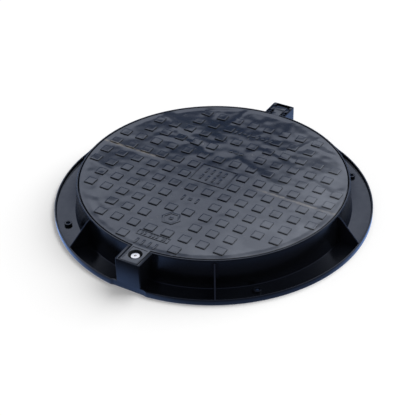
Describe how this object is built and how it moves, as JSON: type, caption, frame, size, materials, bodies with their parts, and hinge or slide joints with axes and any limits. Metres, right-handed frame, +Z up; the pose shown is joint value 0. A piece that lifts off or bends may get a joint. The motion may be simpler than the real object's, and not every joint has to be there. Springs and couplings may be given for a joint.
{
  "type": "manhole cover",
  "caption": "Round black plastic manhole cover with square anti-slip studs, hinged and locked in a flanged round frame with gusset ribs.",
  "frame": {"origin": "centre of the frame's underside, on the ground", "axes": "+Z up, +Y towards the hinge, -Y towards the lock, +X to the right seen from the lock"},
  "size_m": [0.75, 0.7446, 0.078],
  "materials": {
    "frame_plastic": "smooth black moulded polyethylene, semi-gloss",
    "cover_plastic": "black moulded polyethylene, lightly textured and scuffed",
    "seal_rubber": "matte black EPDM",
    "zinc_steel": "zinc-plated steel",
    "bright_steel": "bright turned stainless steel",
    "acetal": "plain black acetal"
  },
  "bodies": {
    "frame": {"frame": "frame_plastic", "cover_seal": "seal_rubber", "hinge_pin": "zinc_steel", "hinge_cap_left": "frame_plastic", "hinge_cap_right": "frame_plastic", "keeper_plate": "zinc_steel", "keeper_screw_left": "zinc_steel", "keeper_screw_right": "zinc_steel"},
    "cover": {"cover": "cover_plastic", "lock_bush": "acetal"},
    "lock": {"lock_spindle": "bright_steel", "lock_washer": "zinc_steel", "lock_oring": "seal_rubber", "lock_pawl": "zinc_steel", "lock_spring_washer": "zinc_steel", "lock_nut": "zinc_steel"}
  },
  "joints": [
    {"name": "cover_hinge", "type": "hinge", "parent": "frame", "child": "cover", "pos_m": [0, 0.3445, 0.066], "axis": [-1, 0, 0], "range_deg": [0, 105]},
    {"name": "lock_turn", "type": "hinge", "parent": "cover", "child": "lock", "pos_m": [0, -0.337, 0.06], "axis": [0, 0, -1], "range_deg": [0, 90]}
  ]
}
